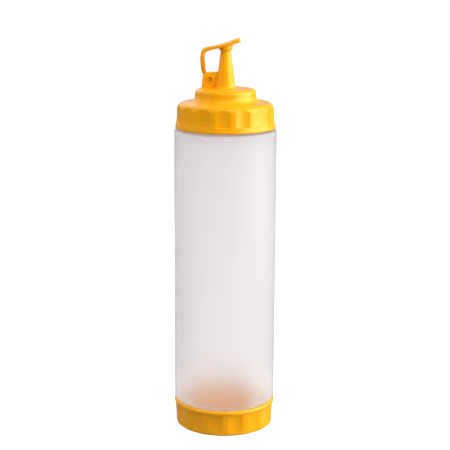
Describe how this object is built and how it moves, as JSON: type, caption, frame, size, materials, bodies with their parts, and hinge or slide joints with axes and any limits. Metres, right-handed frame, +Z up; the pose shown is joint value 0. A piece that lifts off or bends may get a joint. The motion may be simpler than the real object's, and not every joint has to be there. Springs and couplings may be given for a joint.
{
  "type": "sauce bottle",
  "caption": "Tall frosted squeeze bottle, empty, open at both ends, with fluted yellow screw caps, a cone nozzle and a tethered tip cap.",
  "frame": {"origin": "on the standing face of the base cap, below the axis of the tube", "axes": "+Z up along the tube; the front is -Y, the tether and the fin are on the -X side, and the tab of the tip cap points to +X"},
  "size_m": [0.0684, 0.0684, 0.263],
  "materials": {
    "frosted_plastic": "frosted, see-through",
    "yellow_plastic": "satin gloss"
  },
  "bodies": {
    "root": {"bottle_body": "frosted_plastic", "base_cap": "yellow_plastic", "top_cap": "yellow_plastic", "tip_cap": "yellow_plastic"}
  },
  "joints": []
}
